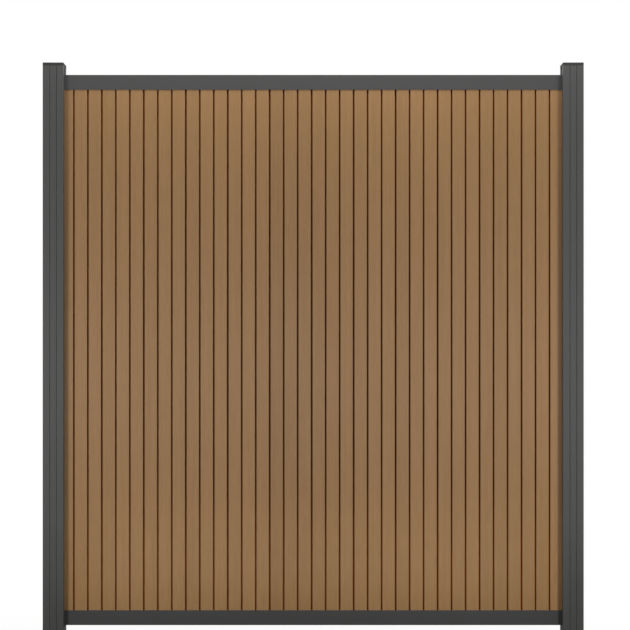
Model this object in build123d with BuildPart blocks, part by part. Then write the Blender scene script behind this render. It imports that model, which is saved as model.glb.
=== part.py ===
"""Composite garden screen.

Grooved tongue-and-groove boards stand upright between a bottom and a top rail, and the panel
that they make slides into the slots of two aluminium posts. Snap-in strips close the slots
that hold no panel. Millimetres, +Z up, front towards -Y, origin on the ground midway between
the posts.
"""

import os

from build123d import *

os.makedirs("parts", exist_ok=True)

# Composite boards
BOARD_COUNT = 12
BOARD_COVER = 152.6  # width that each board adds to the panel
BOARD_THICKNESS = 20.0
RIBS_PER_BOARD = 3
GROOVE_WIDTH = 5.6
GROOVE_DEPTH = 8.0
RIB_RADIUS = 1.2
BACK_CHAMFER = 0.8
SHOULDER_GAP = 0.5  # between two neighbouring boards
TONGUE_LENGTH = 11.0
TONGUE_THICKNESS = 5.0
TONGUE_CHAMFER = 0.8
TONGUE_CLEARANCE = 0.3  # on each face of the tongue
TONGUE_END_GAP = 1.0

# Rails
PANEL_HEIGHT = 2000.0  # from the underside of the bottom rail to the top of the top rail
GROUND_GAP = 50.0  # under the bottom rail
RAIL_HEIGHT = 54.0
RAIL_WALL = 1.6
RAIL_RADIUS = 0.8
LIP_RADIUS = 0.5  # on both edges of the channel's lips
CHANNEL_DEPTH = 22.0  # how far the boards stand in each rail
BOARD_CLEARANCE = 0.5  # on each face of a board in the channel

# Posts
POST_SIZE = 75.0
POST_WALL = 2.0
POST_RADIUS = 1.0
POST_ABOVE_RAIL = 30.0
SLOT_DEPTH = 18.0
SLOT_END_GAP = 1.5  # between the panel's edges and the slot floors
RAIL_CLEARANCE = 0.4  # on each face of a rail in the slot
PORT_DIAMETER = 6.8  # screw ports in the corners of the post, for a bolt-down base
PORT_WALL = 1.8

# Post caps
CAP_HEIGHT = 11.0
CAP_TOP = 3.0
CAP_WALL = 2.5
CAP_RADIUS = 1.0
PLUG_LENGTH = 22.0
PLUG_WALL = 2.0
PLUG_CLEARANCE = 0.3

# Snap-in strips
STRIP_GAP = 1.0  # shadow line on each side of the strip's face
STRIP_RECESS = 0.3  # face behind the post's face
STRIP_WALL = 1.5
STRIP_RADIUS = 0.6
SNAP_LENGTH = 3.0
SNAP_SETBACK = 1.5  # from the slot floor
SNAP_CLEARANCE = 0.1

# Derived sizes
rib_pitch = BOARD_COVER / RIBS_PER_BOARD
board_body = BOARD_COVER - SHOULDER_GAP
tongue_mid = GROOVE_DEPTH / 2
panel_width = BOARD_COUNT * BOARD_COVER - SHOULDER_GAP + TONGUE_LENGTH

channel_width = BOARD_THICKNESS + 2 * BOARD_CLEARANCE
rail_depth = channel_width + 2 * RAIL_WALL
panel_top = GROUND_GAP + PANEL_HEIGHT
board_foot = GROUND_GAP + RAIL_HEIGHT - CHANNEL_DEPTH
board_length = PANEL_HEIGHT - 2 * (RAIL_HEIGHT - CHANNEL_DEPTH)

slot_width = rail_depth + 2 * RAIL_CLEARANCE
slot_floor = POST_SIZE / 2 - SLOT_DEPTH
post_length = panel_top + POST_ABOVE_RAIL
post_centre = panel_width / 2 + SLOT_END_GAP + slot_floor
port_web = (PORT_DIAMETER + PORT_WALL) / 2  # solid corner between a port and the walls
port_spacing = POST_SIZE - 2 * (POST_WALL + port_web)
core_width = 2 * (slot_floor - POST_WALL)  # hollow between the slot floors
corner_box = (POST_SIZE - slot_width) / 2 - 2 * POST_WALL  # hollow between two slots
corner_box_spacing = (POST_SIZE + slot_width) / 2


def finish(builder, name):
    """Label a finished piece and write it."""
    builder.part.label = name
    export_step(builder.part, f"parts/{name}.step")


def make_board(number):
    """Three ribs on the front, half a groove on each edge, a groove left and a tongue right."""
    left = -panel_width / 2 - SHOULDER_GAP / 2 + (number - 1) * BOARD_COVER
    front = -BOARD_THICKNESS / 2
    inner_grooves = [(rib * rib_pitch, front) for rib in range(1, RIBS_PER_BOARD)]
    left_shoulder = SHOULDER_GAP / 2
    right_shoulder = BOARD_COVER - SHOULDER_GAP / 2
    with BuildPart() as board:
        with BuildSketch(Plane((left, 0, board_foot))) as section:
            with Locations((left_shoulder, 0)):
                Rectangle(board_body, BOARD_THICKNESS, align=(Align.MIN, Align.CENTER))
            with Locations((left_shoulder, front), *inner_grooves, (right_shoulder, front)):
                Rectangle(GROOVE_WIDTH, GROOVE_DEPTH, align=(Align.CENTER, Align.MIN), mode=Mode.SUBTRACT)
            fillet(section.vertices().group_by(Axis.Y)[0], RIB_RADIUS)
            chamfer(section.vertices().group_by(Axis.Y)[-1], BACK_CHAMFER)
            with Locations((left_shoulder, tongue_mid)):
                Rectangle(
                    TONGUE_LENGTH - SHOULDER_GAP + TONGUE_END_GAP,
                    TONGUE_THICKNESS + 2 * TONGUE_CLEARANCE,
                    align=(Align.MIN, Align.CENTER),
                    mode=Mode.SUBTRACT,
                )
            with Locations((right_shoulder, tongue_mid)):
                Rectangle(TONGUE_LENGTH, TONGUE_THICKNESS, align=(Align.MIN, Align.CENTER))
            chamfer(section.vertices().group_by(Axis.X)[-1], TONGUE_CHAMFER)
        extrude(amount=board_length)
    finish(board, f"board_{number:02d}")


def make_rail(name, mouth_height, across):
    """A channel for the boards backed by a hollow box, drawn with the channel's mouth at y = 0.

    The section lies across the rail, so its y axis points away from the boards."""
    rail_end = Plane((-panel_width / 2, 0, mouth_height), x_dir=across, z_dir=(1, 0, 0))
    box_height = RAIL_HEIGHT - CHANNEL_DEPTH - 2 * RAIL_WALL
    with BuildPart() as rail:
        with BuildSketch(rail_end) as section:
            Rectangle(rail_depth, RAIL_HEIGHT, align=(Align.CENTER, Align.MIN))
            fillet(section.vertices().group_by(Axis.Y)[-1], RAIL_RADIUS)
            Rectangle(channel_width, CHANNEL_DEPTH, align=(Align.CENTER, Align.MIN), mode=Mode.SUBTRACT)
            fillet(section.vertices().group_by(Axis.Y)[0], LIP_RADIUS)
            with Locations((0, CHANNEL_DEPTH + RAIL_WALL)):
                Rectangle(channel_width, box_height, align=(Align.CENTER, Align.MIN), mode=Mode.SUBTRACT)
        extrude(amount=panel_width)
    finish(rail, name)


def make_post(name, centre_x):
    """A square extrusion of even wall with a slot in each side and a screw port in each corner."""
    with BuildPart() as post:
        with BuildSketch(Plane((centre_x, 0, 0))) as section:
            Rectangle(POST_SIZE, POST_SIZE)
            with PolarLocations(POST_SIZE / 2, 4):
                Rectangle(SLOT_DEPTH, slot_width, align=(Align.MAX, Align.CENTER), mode=Mode.SUBTRACT)
            slot_corners, slot_lips, post_corners = section.vertices().group_by(SortBy.DISTANCE)
            fillet(slot_lips + post_corners, POST_RADIUS)
            Rectangle(core_width, core_width, mode=Mode.SUBTRACT)
            with GridLocations(corner_box_spacing, corner_box_spacing, 2, 2):
                Rectangle(corner_box, corner_box, mode=Mode.SUBTRACT)
            with GridLocations(port_spacing, port_spacing, 2, 2):
                Circle(PORT_DIAMETER / 2 + PORT_WALL)
            with GridLocations(port_spacing + port_web, port_spacing + port_web, 2, 2):
                Rectangle(port_web, port_web)
            with GridLocations(port_spacing, port_spacing, 2, 2):
                Circle(PORT_DIAMETER / 2, mode=Mode.SUBTRACT)
        extrude(amount=post_length)
    finish(post, name)


def make_cap(name, centre_x):
    """A moulded shell that sits on the end of the post, with a square plug in the post's core."""
    plug_width = core_width - 2 * PLUG_CLEARANCE
    shell_depth = CAP_HEIGHT - CAP_TOP
    with BuildPart() as cap:
        with BuildSketch(Plane((centre_x, 0, post_length))):
            RectangleRounded(POST_SIZE, POST_SIZE, POST_RADIUS)
        extrude(amount=CAP_HEIGHT)
        fillet(cap.edges().group_by(Axis.Z)[-1], CAP_RADIUS)
        with BuildSketch(Plane((centre_x, 0, post_length))):
            Rectangle(POST_SIZE - 2 * CAP_WALL, POST_SIZE - 2 * CAP_WALL)
        extrude(amount=shell_depth, mode=Mode.SUBTRACT)
        with BuildSketch(Plane((centre_x, 0, post_length - PLUG_LENGTH))):
            Rectangle(plug_width, plug_width)
            Rectangle(plug_width - 2 * PLUG_WALL, plug_width - 2 * PLUG_WALL, mode=Mode.SUBTRACT)
        extrude(amount=PLUG_LENGTH + shell_depth)
    finish(cap, name)


def make_strip(name, centre_x, facing, foot, length):
    """A channel-shaped cover in the slot that faces the given way, held by a snap rib on each leg."""
    strip_width = slot_width - 2 * STRIP_GAP
    strip_depth = SLOT_DEPTH - STRIP_RECESS
    from_floor = (Align.MIN, Align.CENTER)
    with BuildPart() as strip:
        with BuildSketch(Plane((centre_x, 0, foot), x_dir=facing, z_dir=(0, 0, 1))) as section:
            with Locations((slot_floor, 0)):
                Rectangle(strip_depth, strip_width, align=from_floor)
            fillet(section.vertices().group_by(Axis.X)[-1], STRIP_RADIUS)
            with Locations((slot_floor + SNAP_SETBACK, 0)):
                Rectangle(SNAP_LENGTH, slot_width - 2 * SNAP_CLEARANCE, align=from_floor)
            with Locations((slot_floor, 0)):
                Rectangle(
                    strip_depth - STRIP_WALL,
                    strip_width - 2 * STRIP_WALL,
                    align=from_floor,
                    mode=Mode.SUBTRACT,
                )
        extrude(amount=length)
    finish(strip, name)


# Two posts, each with its cap, a strip in every free slot, and a short strip that carries the panel
for side, outward in (("left", -1), ("right", 1)):
    post_x = outward * post_centre
    make_post(f"{side}_post", post_x)
    make_cap(f"{side}_post_cap", post_x)
    make_strip(f"{side}_front_strip", post_x, (0, -1, 0), 0, post_length)
    make_strip(f"{side}_back_strip", post_x, (0, 1, 0), 0, post_length)
    make_strip(f"{side}_outer_strip", post_x, (outward, 0, 0), 0, post_length)
    make_strip(f"{side}_lower_strip", post_x, (-outward, 0, 0), 0, GROUND_GAP)

# The panel: a rail below, the boards standing in it, and a rail resting on their tops
make_rail("bottom_rail", GROUND_GAP + RAIL_HEIGHT, (0, -1, 0))
for board_number in range(1, BOARD_COUNT + 1):
    make_board(board_number)
make_rail("top_rail", panel_top - RAIL_HEIGHT, (0, 1, 0))
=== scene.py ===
import math

import bpy
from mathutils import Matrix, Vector


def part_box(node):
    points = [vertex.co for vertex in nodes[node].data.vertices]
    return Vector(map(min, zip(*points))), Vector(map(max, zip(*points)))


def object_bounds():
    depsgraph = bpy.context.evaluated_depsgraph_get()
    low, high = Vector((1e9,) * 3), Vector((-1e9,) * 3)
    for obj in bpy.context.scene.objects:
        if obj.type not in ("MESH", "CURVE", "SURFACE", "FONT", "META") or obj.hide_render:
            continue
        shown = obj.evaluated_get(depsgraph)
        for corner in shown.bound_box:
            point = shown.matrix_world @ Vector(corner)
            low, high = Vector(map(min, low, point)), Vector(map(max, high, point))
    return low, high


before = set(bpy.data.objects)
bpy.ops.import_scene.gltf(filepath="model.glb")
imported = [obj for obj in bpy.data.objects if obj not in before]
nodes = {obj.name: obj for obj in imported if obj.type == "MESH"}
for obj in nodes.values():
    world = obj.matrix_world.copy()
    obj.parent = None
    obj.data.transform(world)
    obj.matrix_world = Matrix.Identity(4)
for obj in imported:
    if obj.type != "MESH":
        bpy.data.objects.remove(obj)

cad_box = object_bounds()
bpy.context.scene.view_settings.view_transform = "Standard"

# Boards
# Upright slats of wood-plastic composite, extruded as boards of three ribs with a tongue on one edge.
# The ribs' faces are brushed lengthwise, which opens fine fibres; the grooves have a dull finish with
# painted shade, darker and warmer towards their floor.
BOARD_NAMES = sorted(name for name in nodes if name.startswith("board_"))
RIBS_PER_BOARD = 3
GROOVE_DEPTH = 0.008
EDGE_DEPTH = (0.0003, 0.0025)  # where the brushed face turns into the painted groove shade, from the face inwards
WALL_DEPTH = (0.0030, 0.0075)  # where the painted shade darkens towards the groove's floor
GROOVE_SHADE_END = (GROOVE_DEPTH * 1.05, GROOVE_DEPTH * 1.2)  # deeper than this, the board is brushed again
BRUSHED_PALE = (0.258, 0.145, 0.0635, 1.0)
BRUSHED_DEEP = (0.203, 0.110, 0.0415, 1.0)
# Painted shade: the grooves' walls and floor are coloured darker and warmer than the faces, as shade would
# make them.
SHADED_WALL_COLOUR = (0.192, 0.092, 0.0285, 1.0)
SHADED_GROOVE_FLOOR_COLOUR = (0.275, 0.070, 0.0035, 1.0)
BOARD_SEED = -1.5
BOARD_TONE = 0.08
BOARD_SHIFT = 9.0  # metres along the grain that two boards may differ by
RIB_SEED = 40.5
RIB_TONE = 0.05
FIRST_RIB_TONE = 0.035
FIBRE_WIDTH = 0.0009
FIBRE_STRETCH = 80.0
FIBRE_SHARE = 0.72
FIBRE_ROUGHNESS = 0.25
FIBRE_RELIEF = 0.7
STREAK_WIDTH = 0.011
STREAK_STRETCH = 50.0
STREAK_DETAIL = 3.0
STREAK_SHARE = 0.28
STREAK_ROUGHNESS = 0.10
PALE_LIMITS = (0.30, 0.70)  # of the fibres and streaks together, from the deep colour to the pale one
SCRATCH_WIDTH = 0.0005
SCRATCH_STRETCH = 160.0
SCRATCH_LIMITS = (0.60, 0.70)
SCRATCH_TONE = 0.10
SCRATCH_RELIEF = 0.5
FLECK_WIDTH = 0.0009
FLECK_STRETCH = 6.0
DARK_FLECK_LIMITS = (0.66, 0.74)
DARK_FLECK_TONE = 0.22
DARK_FLECK_RELIEF = 0.3
PALE_FLECK_LIMITS = (0.26, 0.34)
PALE_FLECK_TONE = 0.20
BRUSHED_GLOSS = 0.48
BRUSHED_ROUGHNESS = 0.47
BRUSH_DEPTH = 0.00030
BRUSH_STRENGTH = 0.7


class Wire:
    """An output socket in a material's node tree. Arithmetic on wires adds Math nodes to that tree."""

    def __init__(self, tree, socket=None):
        self.tree = tree
        self.socket = socket

    def node(self, kind, settings=None, inputs=None, output=0):
        """Add a node of any other kind: its settings first, then values or wires on its sockets."""
        made = self.tree.nodes.new(kind)
        for name, value in (settings or {}).items():
            setattr(made, name, value)
        for name, value in (inputs or {}).items():
            if isinstance(value, Wire):
                self.tree.links.new(value.socket, made.inputs[name])
            else:
                made.inputs[name].default_value = value
        return Wire(self.tree, made.outputs[output])

    def feed(self, shader, name):
        """Link this wire to a named input of a shader."""
        self.tree.links.new(self.socket, shader.inputs[name])

    def math(self, operation, first, second):
        return self.node("ShaderNodeMath", {"operation": operation}, {0: first, 1: second})

    def __add__(self, other):
        return self.math("ADD", self, other)

    def __radd__(self, other):
        return self.math("ADD", other, self)

    def __sub__(self, other):
        return self.math("SUBTRACT", self, other)

    def __rsub__(self, other):
        return self.math("SUBTRACT", other, self)

    def __mul__(self, other):
        return self.math("MULTIPLY", self, other)

    def __rmul__(self, other):
        return self.math("MULTIPLY", other, self)

    def __truediv__(self, other):
        return self.math("DIVIDE", self, other)


def new_finish(name):
    """A material, its shader, and a bare wire that starts its expressions."""
    material = bpy.data.materials.new(name)
    material.use_nodes = True
    shader = material.node_tree.nodes["Principled BSDF"]
    return material, shader, Wire(material.node_tree)


def coordinates(wire):
    """The place of a point in the frame, as three wires in metres."""
    place = wire.node("ShaderNodeTexCoord", output="Object")
    return [wire.node("ShaderNodeSeparateXYZ", inputs={"Vector": place}, output=axis) for axis in "XYZ"]


def noise(x, y, z, grain_size, detail=2.0):
    """Soft noise with grains of about the given size, from 0 to 1."""
    place = x.node("ShaderNodeCombineXYZ", inputs={"X": x, "Y": y, "Z": z})
    return x.node("ShaderNodeTexNoise", {"noise_dimensions": "3D"},
                  {"Vector": place, "Scale": 1.0 / grain_size, "Detail": detail})


def swing(value, spread):
    """A value from 0 to 1 as an offset to both sides of nothing, as wide as the spread."""
    return (value - 0.5) * spread


def fade(value, low, high):
    """0 below low, 1 above high and a smooth step between."""
    return value.node("ShaderNodeMapRange", {"interpolation_type": "SMOOTHSTEP"},
                      {"Value": value, "From Min": low, "From Max": high})


def whole(value):
    """The value rounded down."""
    return value.node("ShaderNodeMath", {"operation": "FLOOR"}, {0: value})


def chance(number, seed):
    """A fixed random value from 0 to 1 for each whole number."""
    return number.node("ShaderNodeTexWhiteNoise", {"noise_dimensions": "1D"}, {"W": number + seed})


def mix_colour(share, first, second):
    """From the first colour to the second as share goes from 0 to 1."""
    sockets = {"Factor": share, 6: first, 7: second}  # 6 and 7 are the node's two colours
    return share.node("ShaderNodeMix", {"data_type": "RGBA"}, sockets, output=2)


def scale_colour(colour, tone):
    """A colour made lighter or darker by a wire."""
    return tone.node("ShaderNodeVectorMath", {"operation": "SCALE"}, {0: colour, "Scale": tone})


def bump(height, depth, strength):
    """A normal that shows the height, from 0 to 1, as relief of the given depth in metres."""
    return height.node("ShaderNodeBump", inputs={"Strength": strength, "Distance": depth, "Height": height})


def coat(names, material):
    """Give CAD nodes a material in place of the one they came with."""
    for name in names:
        nodes[name].data.materials.clear()
        nodes[name].data.materials.append(material)


def brushed_composite(name):
    """Brushed faces with fibres, streaks, scratches and flecks, and painted shade in the dull grooves,
    darkest at their floor.
    """
    first_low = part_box(BOARD_NAMES[0])[0]
    board_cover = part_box(BOARD_NAMES[1])[0].x - first_low.x
    front = first_low.y
    material, shader, wire = new_finish(name)
    x, y, z = coordinates(wire)
    along = (x - first_low.x) / board_cover
    board_number = whole(along)
    rib_number = whole(along * RIBS_PER_BOARD)
    board_chance = chance(board_number, BOARD_SEED)
    rib_chance = chance(rib_number, RIB_SEED)
    first_rib = 1.0 - fade(rib_number - board_number * RIBS_PER_BOARD, 0.0, 1.0)

    start = z + board_chance * BOARD_SHIFT
    fibre = noise(x, y, start / FIBRE_STRETCH, FIBRE_WIDTH)
    streak = noise(x, y, start / STREAK_STRETCH, STREAK_WIDTH, STREAK_DETAIL)
    scratch = fade(noise(x, y, start / SCRATCH_STRETCH, SCRATCH_WIDTH), *SCRATCH_LIMITS)
    fleck_noise = noise(x, y, start / FLECK_STRETCH, FLECK_WIDTH)
    dark_fleck = fade(fleck_noise, *DARK_FLECK_LIMITS)
    pale_fleck = 1.0 - fade(fleck_noise, *PALE_FLECK_LIMITS)

    pale_share = fade(streak * STREAK_SHARE + fibre * FIBRE_SHARE, *PALE_LIMITS)
    brushed = mix_colour(pale_share, BRUSHED_DEEP, BRUSHED_PALE)
    tone = 1.0 + swing(board_chance, BOARD_TONE) + swing(rib_chance, RIB_TONE) - first_rib * FIRST_RIB_TONE
    tone = tone - scratch * SCRATCH_TONE - dark_fleck * DARK_FLECK_TONE + pale_fleck * PALE_FLECK_TONE
    roughness = BRUSHED_ROUGHNESS + swing(fibre, FIBRE_ROUGHNESS) - swing(streak, STREAK_ROUGHNESS)
    relief = fibre * FIBRE_RELIEF - scratch * SCRATCH_RELIEF - dark_fleck * DARK_FLECK_RELIEF
    scale_colour(brushed, tone).feed(shader, "Base Color")
    shader.inputs["Specular IOR Level"].default_value = BRUSHED_GLOSS
    roughness.feed(shader, "Roughness")
    bump(relief, BRUSH_DEPTH, BRUSH_STRENGTH).feed(shader, "Normal")

    # Painted shade in the grooves: a dull colour that darkens and warms towards each groove's floor.
    depth = y - front
    in_groove = fade(depth, *EDGE_DEPTH) * (1.0 - fade(depth, *GROOVE_SHADE_END))
    groove_shade_colour = mix_colour(fade(depth, *WALL_DEPTH), SHADED_WALL_COLOUR, SHADED_GROOVE_FLOOR_COLOUR)
    groove_shade = wire.node("ShaderNodeBsdfPrincipled",
                     inputs={"Base Color": groove_shade_colour, "Roughness": 1.0, "Specular IOR Level": 0.0})
    brushed_face = Wire(material.node_tree, shader.outputs[0])
    surface = wire.node("ShaderNodeMixShader", inputs={0: in_groove, 1: brushed_face, 2: groove_shade})
    surface.feed(material.node_tree.nodes["Material Output"], "Surface")
    return material


coat(BOARD_NAMES, brushed_composite("brushed_composite"))

# Rails
# Hollow aluminium extrusions with a channel that the boards stand in, coated with dark grey powder.
# The bottom rail sits on the short strips in the posts, and the top rail rests on the boards.
RAIL_NAMES = ("bottom_rail", "top_rail")
RAIL_GREY = (0.0430, 0.0425, 0.0420)
PEEL_SIZE = 0.0009
PEEL_TONE = 0.12
PEEL_ROUGHNESS = 0.20
CLOUD_SIZE = 0.18
CLOUD_DETAIL = 3.0
CLOUD_TONE = 0.10
CLOUD_ROUGHNESS = 0.12
DIE_LINE_WIDTH = 0.0022
DIE_LINE_STRETCH = 400.0
DIE_LINE_TONE = 0.08
DIE_LINE_RELIEF = 0.35
POWDER_GLOSS = 0.40
POWDER_ROUGHNESS = 0.54
POWDER_RELIEF = 0.00006
POWDER_STRENGTH = 0.8


def powder_coat(name, grey, lengthwise):
    """Baked powder: a fine orange peel over faint lines that the die leaves along the extrusion."""
    material, shader, wire = new_finish(name)
    x, y, z = coordinates(wire)
    peel = noise(x, y, z, PEEL_SIZE)
    cloud = noise(x, y, z, CLOUD_SIZE, CLOUD_DETAIL)
    if lengthwise == "X":
        die_line = noise(x / DIE_LINE_STRETCH, y, z, DIE_LINE_WIDTH)
    else:
        die_line = noise(x, y, z / DIE_LINE_STRETCH, DIE_LINE_WIDTH)
    tone = 1.0 + swing(cloud, CLOUD_TONE) + swing(die_line, DIE_LINE_TONE) + swing(peel, PEEL_TONE)
    roughness = POWDER_ROUGHNESS + swing(peel, PEEL_ROUGHNESS) + swing(cloud, CLOUD_ROUGHNESS)
    scale_colour(grey, tone).feed(shader, "Base Color")
    shader.inputs["Specular IOR Level"].default_value = POWDER_GLOSS
    roughness.feed(shader, "Roughness")
    bump(peel + die_line * DIE_LINE_RELIEF, POWDER_RELIEF, POWDER_STRENGTH).feed(shader, "Normal")
    return material


coat(RAIL_NAMES, powder_coat("rail_powder_coat", RAIL_GREY, "X"))

# Posts and strips
# Square aluminium extrusions with a slot in each side, and channel-shaped strips that snap into the
# slots that hold no panel. Both are coated like the rails, and the gap beside a strip is a dark line.
POST_NAMES = [name for name in nodes if name.endswith("_post") or name.endswith("_strip")]
POST_GREY = (0.0510, 0.0510, 0.0500)

coat(POST_NAMES, powder_coat("post_powder_coat", POST_GREY, "Z"))

# Caps
# Flat moulded plastic caps that plug into the posts' cores. The mould is spark-eroded, so the
# surface has a fine even grain and is duller and darker than the powder coat below it.
CAP_NAMES = ("left_post_cap", "right_post_cap")
CAP_GREY = (0.027, 0.027, 0.0262)
MOULD_GRAIN_SIZE = 0.0006
MOULD_GRAIN_DETAIL = 3.0
MOULD_GRAIN_TONE = 0.25
MOULD_GRAIN_ROUGHNESS = 0.20
FLOW_SIZE = 0.03
FLOW_TONE = 0.12
MOULD_GLOSS = 0.35
MOULD_ROUGHNESS = 0.72
MOULD_RELIEF = 0.00004
MOULD_STRENGTH = 0.7


def moulded_plastic(name, grey):
    """Dull plastic with the mould's grain, and faint clouds where the melt flowed together."""
    material, shader, wire = new_finish(name)
    x, y, z = coordinates(wire)
    grain = noise(x, y, z, MOULD_GRAIN_SIZE, MOULD_GRAIN_DETAIL)
    flow = noise(x, y, z, FLOW_SIZE)
    tone = 1.0 + swing(grain, MOULD_GRAIN_TONE) + swing(flow, FLOW_TONE)
    roughness = MOULD_ROUGHNESS + swing(grain, MOULD_GRAIN_ROUGHNESS)
    scale_colour(grey, tone).feed(shader, "Base Color")
    shader.inputs["Specular IOR Level"].default_value = MOULD_GLOSS
    roughness.feed(shader, "Roughness")
    bump(grain, MOULD_RELIEF, MOULD_STRENGTH).feed(shader, "Normal")
    return material


coat(CAP_NAMES, moulded_plastic("cap_moulding", CAP_GREY))

# Floor and backdrop
# A plain white floor that keeps the screen's soft shadow, under a plain white surround. Two dark cards, one
# flat and one standing before the screen's foot, show only in the gloss: a painted dark reflection that
# dims the sheen low on the screen.
WHITE = (1.0, 1.0, 1.0)
FLOOR_WIDTH = 5.0
FLOOR_DEPTH = 2.2
SHADE_START = 0.30  # shares of the floor's sides, out from its middle, where the shadow fades to white
SHADE_END = 0.50
FLOOR_SHARE = 0.16  # part of the floor's brightness that comes from the lamps, and so shows the shadow
FLOOR_LIGHT = 0.70  # light on the floor beside the screen
SURROUND_LIGHT = 0.10
CARD_FRONT = 1.80
CARD_BACK = 0.60
CARD_HEIGHT = 0.002
DARK_REFLECTION_GREY = (0.08, 0.08, 0.08, 1.0)
FLAG_PLACE = 0.36
FLAG_HEIGHT = 0.35


def seen_directly(wire):
    """1 for rays from the camera, from gloss and through glass, and 0 for light on the object."""
    kinds = [wire.node("ShaderNodeLightPath", output=kind)
             for kind in ("Is Camera Ray", "Is Glossy Ray", "Is Transmission Ray")]
    return wire.math("MAXIMUM", wire.math("MAXIMUM", kinds[0], kinds[1]), kinds[2])


def lay_sheet(name, width, front, back):
    """A rectangle of the stage between a front and a back edge, each given by its y and z."""
    side = width / 2
    corners = [(-side, *front), (side, *front), (side, *back), (-side, *back)]
    mesh = bpy.data.meshes.new(name)
    mesh.from_pydata(corners, [], [(0, 1, 2, 3)])
    sheet = bpy.data.objects.new(name, mesh)
    bpy.context.scene.collection.objects.link(sheet)
    return sheet


def dull_finish(name):
    """A finish as from new_finish, with no gloss."""
    material, shader, wire = new_finish(name)
    shader.inputs["Roughness"].default_value = 1.0
    shader.inputs["Specular IOR Level"].default_value = 0.0
    return material, shader, wire


floor = lay_sheet("floor", FLOOR_WIDTH, (-FLOOR_DEPTH / 2, 0.0), (FLOOR_DEPTH / 2, 0.0))
floor_paint, floor_shader, floor_wire = dull_finish("floor_paint")
floor_x, floor_y = coordinates(floor_wire)[:2]
far_x = fade(floor_x * floor_x, (FLOOR_WIDTH * SHADE_START) ** 2, (FLOOR_WIDTH * SHADE_END) ** 2)
far_y = fade(floor_y * floor_y, (FLOOR_DEPTH * SHADE_START) ** 2, (FLOOR_DEPTH * SHADE_END) ** 2)
lit_share = FLOOR_SHARE * (1.0 - far_x) * (1.0 - far_y)
white_share = seen_directly(floor_wire) * (1.0 - lit_share * FLOOR_LIGHT)
scale_colour(WHITE, lit_share).feed(floor_shader, "Base Color")
scale_colour(WHITE, white_share).feed(floor_shader, "Emission Color")
floor_shader.inputs["Emission Strength"].default_value = 1.0
floor.data.materials.append(floor_paint)

# Painted dark reflection: these cards cast no shadow and light nothing; they only darken the gloss low on
# the screen.
card = lay_sheet("card", FLOOR_WIDTH, (-CARD_FRONT, CARD_HEIGHT), (CARD_BACK, CARD_HEIGHT))
flag = lay_sheet("flag", FLOOR_WIDTH, (-FLAG_PLACE, FLAG_HEIGHT), (-FLAG_PLACE, CARD_HEIGHT))
dark_reflection_paint, dark_reflection_shader = dull_finish("dark_reflection_paint")[:2]
dark_reflection_shader.inputs["Base Color"].default_value = DARK_REFLECTION_GREY
for sheet in (card, flag):
    sheet.data.materials.append(dark_reflection_paint)
    sheet.visible_camera = False
    sheet.visible_diffuse = False
    sheet.visible_shadow = False

surround = bpy.data.worlds.new("surround")
surround.use_nodes = True
bpy.context.scene.world = surround
surround_level = SURROUND_LIGHT + seen_directly(Wire(surround.node_tree)) * (1.0 - SURROUND_LIGHT)
surround_shader = surround.node_tree.nodes["Background"]
surround_shader.inputs["Color"].default_value = (*WHITE, 1.0)
surround_level.feed(surround_shader, "Strength")

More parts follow.
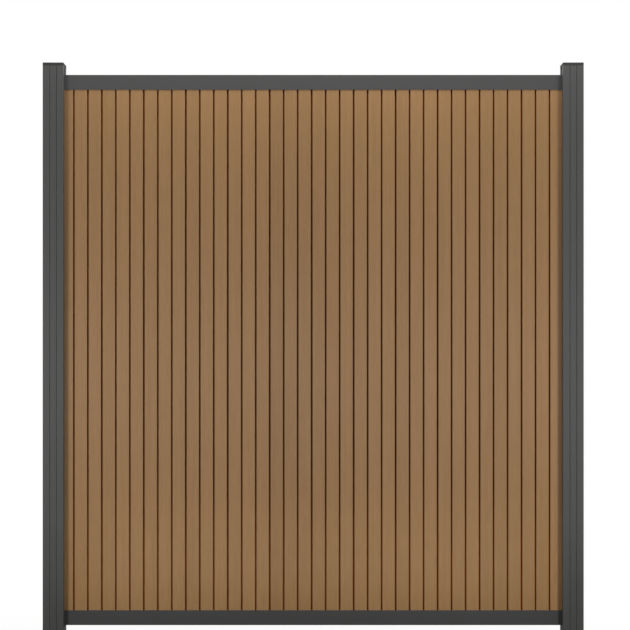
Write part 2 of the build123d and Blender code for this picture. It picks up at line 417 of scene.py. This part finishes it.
# Lamps
# Soft boxes at the four corners, the front ones narrow and aimed at their own sides, and two long strips
# close to the front, one above the screen and one low down. None of these shows in the gloss, which
# sees a long panel of its own.
FRONT_BOX_SIZE = (0.5, 1.24)
FRONT_X, FRONT_Y, FRONT_Z = 2.11, 2.14, 0.655
FRONT_AIM_X, FRONT_AIM_Z = 1.20, 0.97
BACK_BOX_SIZE = (1.4, 1.3)
BACK_X, BACK_Y, BACK_Z = 2.45, 2.30, 0.90
BACK_AIM_X, BACK_AIM_Z = 1.0, 0.70
LAMPS = {
    "right_front": {"place": (FRONT_X, -FRONT_Y, FRONT_Z), "aim": (FRONT_AIM_X, 0, FRONT_AIM_Z),
                    "size": FRONT_BOX_SIZE, "power": 52},
    "left_front": {"place": (-FRONT_X, -FRONT_Y, FRONT_Z), "aim": (-FRONT_AIM_X, 0, FRONT_AIM_Z),
                   "size": FRONT_BOX_SIZE, "power": 45.8},
    "right_back": {"place": (BACK_X, BACK_Y, BACK_Z), "aim": (-BACK_AIM_X, 0, BACK_AIM_Z),
                   "size": BACK_BOX_SIZE, "power": 64},
    "left_back": {"place": (-BACK_X, BACK_Y, BACK_Z), "aim": (BACK_AIM_X, 0, BACK_AIM_Z),
                  "size": BACK_BOX_SIZE, "power": 64},
    "above_strip": {"place": (0.10, -0.24, 2.55), "aim": (0.10, 0, 1.8),
                    "size": (2.3, 0.4), "power": 18.0},
    "low_strip": {"place": (0, -0.27, 0.25), "aim": (0, 0, 0.25),
                  "size": (1.75, 0.12), "power": 1.04},
    "gloss_panel": {"place": (0, -1.25, 0.93), "aim": (0, 0, 0.93),
                    "size": (5.0, 0.5), "power": 13.3},
}

for lamp_name, lamp in LAMPS.items():
    light = bpy.data.lights.new(lamp_name, "AREA")
    light.shape = "RECTANGLE"
    light.size, light.size_y = lamp["size"]
    light.energy = lamp["power"]
    lamp_object = bpy.data.objects.new(lamp_name, light)
    lamp_object.location = lamp["place"]
    direction = Vector(lamp["aim"]) - lamp_object.location
    lamp_object.rotation_euler = direction.to_track_quat("-Z", "Y").to_euler()
    lamp_object.visible_camera = False
    lamp_object.visible_glossy = lamp_name == "gloss_panel"
    lamp_object.visible_diffuse = lamp_name != "gloss_panel"
    bpy.context.scene.collection.objects.link(lamp_object)

# Camera
# Level, square to the screen and at half its height, as in the photograph. Its distance comes from how
# much larger the photograph shows the posts' front faces than the panel behind them.
PHOTO_SIZE = 630.0
PHOTO_CENTRE_X = 313.2  # pixel that the camera's axis meets
PHOTO_CENTRE_Y = 350.0
PHOTO_PIXEL = 0.0036197  # metres across one pixel, at the posts' front faces
CAMERA_DISTANCE = 6.183  # from the posts' front faces
CAMERA_HEIGHT = 1.050
SENSOR_WIDTH = 36.0  # in millimetres, and so is the lens

camera_data = bpy.data.cameras.new("camera")
camera_data.sensor_width = SENSOR_WIDTH
camera_data.lens = SENSOR_WIDTH * CAMERA_DISTANCE / (PHOTO_SIZE * PHOTO_PIXEL)
camera_data.shift_x = (PHOTO_SIZE / 2 - PHOTO_CENTRE_X) / PHOTO_SIZE
camera_data.shift_y = (PHOTO_CENTRE_Y - PHOTO_SIZE / 2) / PHOTO_SIZE
camera = bpy.data.objects.new("camera", camera_data)
camera.location = (0.0, cad_box[0].y - CAMERA_DISTANCE, CAMERA_HEIGHT)
camera.rotation_euler = (math.pi / 2, 0.0, 0.0)
bpy.context.scene.collection.objects.link(camera)
bpy.context.scene.camera = camera
